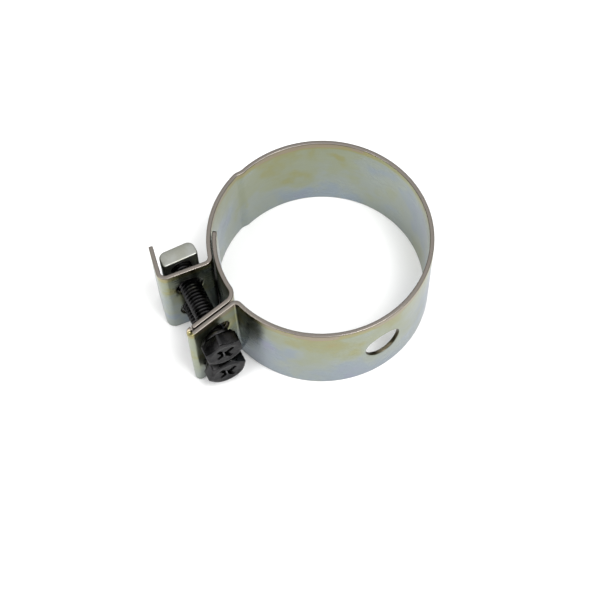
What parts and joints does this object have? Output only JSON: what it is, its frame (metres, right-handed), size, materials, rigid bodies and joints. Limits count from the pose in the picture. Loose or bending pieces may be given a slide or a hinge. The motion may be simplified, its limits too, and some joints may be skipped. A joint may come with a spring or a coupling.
{
  "type": "hose clamp",
  "caption": "Wide sheet-metal band clamp with outward ears drawn together by parallel hexagon screws into a nut plate, for gripping a hose or pipe.",
  "frame": {"origin": "on the loop's axis, in the plane of the lower rim", "axes": "+Z along the loop's axis to the upper rim, ears toward -X, screw heads toward -Y and nut plate toward +Y"},
  "size_m": [0.0745, 0.0604, 0.0285],
  "materials": {
    "zinc_band_rear": "zinc plated, yellow passivated",
    "zinc_band_front": "zinc plated, yellow passivated",
    "zinc_bridge": "zinc plated, yellow passivated",
    "zinc_nut_plate": "zinc plated",
    "black_bolt_upper": "black oxide, oiled",
    "black_bolt_lower": "black oxide, oiled",
    "black_washer_upper": "black oxide, oiled",
    "black_washer_lower": "black oxide, oiled"
  },
  "bodies": {
    "rear_half": {"band_rear_half": "zinc_band_rear"},
    "front_half": {"band_front_half": "zinc_band_front", "bridge_strip": "zinc_bridge"},
    "nut": {"nut_plate": "zinc_nut_plate"},
    "washer_upper": {"lock_washer_upper": "black_washer_upper"},
    "washer_lower": {"lock_washer_lower": "black_washer_lower"},
    "screw_upper": {"bolt_upper": "black_bolt_upper"},
    "screw_lower": {"bolt_lower": "black_bolt_lower"}
  },
  "joints": [
    {"name": "washer_upper_travel", "type": "slide", "parent": "rear_half", "child": "washer_upper", "axis": [0, 1, 0], "range_m": [0, 0.00965]},
    {"name": "washer_lower_travel", "type": "slide", "parent": "rear_half", "child": "washer_lower", "axis": [0, 1, 0], "range_m": [0, 0.00966]},
    {"name": "nut_travel", "type": "slide", "parent": "rear_half", "child": "nut", "axis": [0, -1, 0], "range_m": [0, 0.00406]},
    {"name": "clamp_close", "type": "hinge", "parent": "rear_half", "child": "front_half", "pos_m": [0, 0, 0], "axis": [0, 0, -1], "range_deg": [0, 13.01]},
    {"name": "screw_upper_turn", "type": "hinge", "parent": "washer_upper", "child": "screw_upper", "pos_m": [-0.0365, -0.0129, 0.02025], "axis": [0, 1, 0], "range_deg": [0, 4933]},
    {"name": "screw_lower_turn", "type": "hinge", "parent": "washer_lower", "child": "screw_lower", "pos_m": [-0.0365, -0.0129, 0.00825], "axis": [0, 1, 0], "range_deg": [0, 4933]}
  ],
  "couplings": [
    {"joint": "washer_lower_travel", "follows": "washer_upper_travel", "ratio": 1},
    {"joint": "nut_travel", "follows": "washer_upper_travel", "ratio": 0.41969},
    {"joint": "clamp_close", "follows": "washer_upper_travel", "rad_per_m": 23.512},
    {"joint": "screw_upper_turn", "follows": "washer_upper_travel", "rad_per_m": 8920.2},
    {"joint": "screw_lower_turn", "follows": "washer_upper_travel", "rad_per_m": 8920.2}
  ]
}
